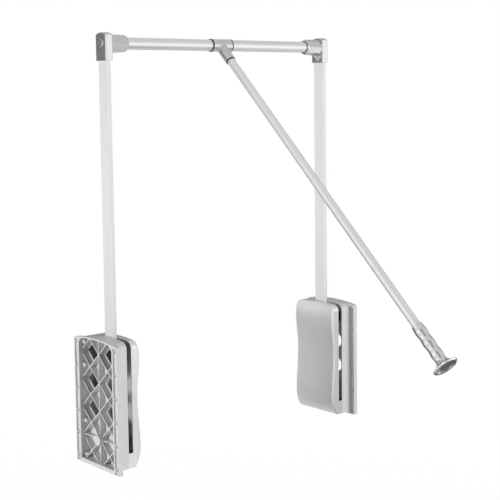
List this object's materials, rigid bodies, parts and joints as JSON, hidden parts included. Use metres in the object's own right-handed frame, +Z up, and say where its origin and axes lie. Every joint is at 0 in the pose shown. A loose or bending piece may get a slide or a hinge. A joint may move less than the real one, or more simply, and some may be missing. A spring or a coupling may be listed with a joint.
{
  "type": "pull-down clothes rail",
  "caption": "Pull-down wardrobe rail: wall housings with sprung swing arms carry a telescopic hanging rail, lowered by a swivelling pull rod with a flared grip.",
  "frame": {"origin": "where the pivot axis meets the left wall plane, on the face of the left housing's pivot boss", "axes": "+X along the pivot axis from the left wall to the right wall, -Y to the front where the rail swings out, +Z up"},
  "size_m": [0.611, 0.6575, 0.7988],
  "materials": {
    "silver_shell": "silver-grey moulded plastic, satin",
    "silver_cover": "silver-grey lacquered plastic, satin",
    "connector_grey": "grey moulded plastic, satin",
    "black_plastic": "black moulded plastic",
    "nylon": "natural nylon",
    "rubber": "black rubber",
    "arm_aluminium": "satin anodised",
    "rail_aluminium": "satin anodised",
    "rod_aluminium": "satin anodised",
    "grip_metal": "polished",
    "axle_steel": "ground",
    "zinc_screw": "zinc plated",
    "cast_hub": "die cast, bare",
    "spring_enamel": "light grey enamel"
  },
  "bodies": {
    "left_housing": {"left_rear_shell": "silver_shell", "left_cover": "silver_cover", "left_case_screws": "zinc_screw", "left_pivot_axle": "axle_steel", "left_pivot_washers": "nylon", "left_rack_guide": "nylon", "left_gas_cylinder": "spring_enamel", "left_cylinder_gland": "black_plastic", "left_cylinder_cradle": "black_plastic", "left_upright_buffer": "rubber", "left_lowered_buffer": "rubber"},
    "left_frame": {"left_hub_sector": "cast_hub", "left_arm": "arm_aluminium", "left_arm_rivets": "axle_steel", "left_corner_connector": "connector_grey", "left_corner_screw": "zinc_screw", "left_rail_tube": "rail_aluminium", "left_rail_plug": "nylon", "left_socket_collar": "black_plastic"},
    "left_carriage": {"left_rack": "cast_hub", "left_piston_rod": "axle_steel"},
    "centre_rail": {"core_tube": "rail_aluminium"},
    "pull_assembly": {"tee": "connector_grey", "tee_bushes": "black_plastic", "rod_collar": "black_plastic", "pull_rod": "rod_aluminium", "grip": "grip_metal", "grip_screw": "zinc_screw"},
    "right_housing": {"right_rear_shell": "silver_shell", "right_cover": "silver_cover", "right_case_screws": "zinc_screw", "right_pivot_axle": "axle_steel", "right_pivot_washers": "nylon", "right_rack_guide": "nylon", "right_gas_cylinder": "spring_enamel", "right_cylinder_gland": "black_plastic", "right_cylinder_cradle": "black_plastic", "right_upright_buffer": "rubber", "right_lowered_buffer": "rubber"},
    "right_frame": {"right_hub_sector": "cast_hub", "right_arm": "arm_aluminium", "right_arm_rivets": "axle_steel", "right_corner_connector": "connector_grey", "right_corner_screw": "zinc_screw", "right_rail_tube": "rail_aluminium", "right_rail_plug": "nylon", "right_socket_collar": "black_plastic"},
    "right_carriage": {"right_rack": "cast_hub", "right_piston_rod": "axle_steel"}
  },
  "joints": [
    {"name": "lift_hinge", "type": "hinge", "parent": "left_housing", "child": "left_frame", "pos_m": [0.0362, 0, 0], "axis": [1, 0, 0], "range_deg": [0, 90], "stiffness_Nm_per_rad": 12, "springref_deg": -28.65},
    {"name": "left_rack_slide", "type": "slide", "parent": "left_housing", "child": "left_carriage", "axis": [0, 0, 1], "range_m": [0, 0.0315]},
    {"name": "width_slide", "type": "slide", "parent": "left_housing", "child": "right_housing", "axis": [1, 0, 0], "range_m": [0, 0.21]},
    {"name": "right_lift_hinge", "type": "hinge", "parent": "right_housing", "child": "right_frame", "pos_m": [0.5748, 0, 0], "axis": [1, 0, 0], "range_deg": [0, 90.5]},
    {"name": "right_rack_slide", "type": "slide", "parent": "right_housing", "child": "right_carriage", "axis": [0, 0, 1], "range_m": [0, 0.0315]},
    {"name": "centre_slide", "type": "slide", "parent": "left_frame", "child": "centre_rail", "axis": [1, 0, 0], "range_m": [0, 0.1055]},
    {"name": "rod_swivel", "type": "hinge", "parent": "centre_rail", "child": "pull_assembly", "pos_m": [0.3055, 0, 0.7273], "axis": [1, 0, 0], "range_deg": [-90, 46.6]}
  ],
  "couplings": [
    {"joint": "right_lift_hinge", "follows": "lift_hinge", "ratio": 1},
    {"joint": "left_rack_slide", "follows": "lift_hinge", "m_per_rad": 0.02},
    {"joint": "right_rack_slide", "follows": "lift_hinge", "m_per_rad": 0.02},
    {"joint": "centre_slide", "follows": "width_slide", "ratio": 0.5}
  ]
}
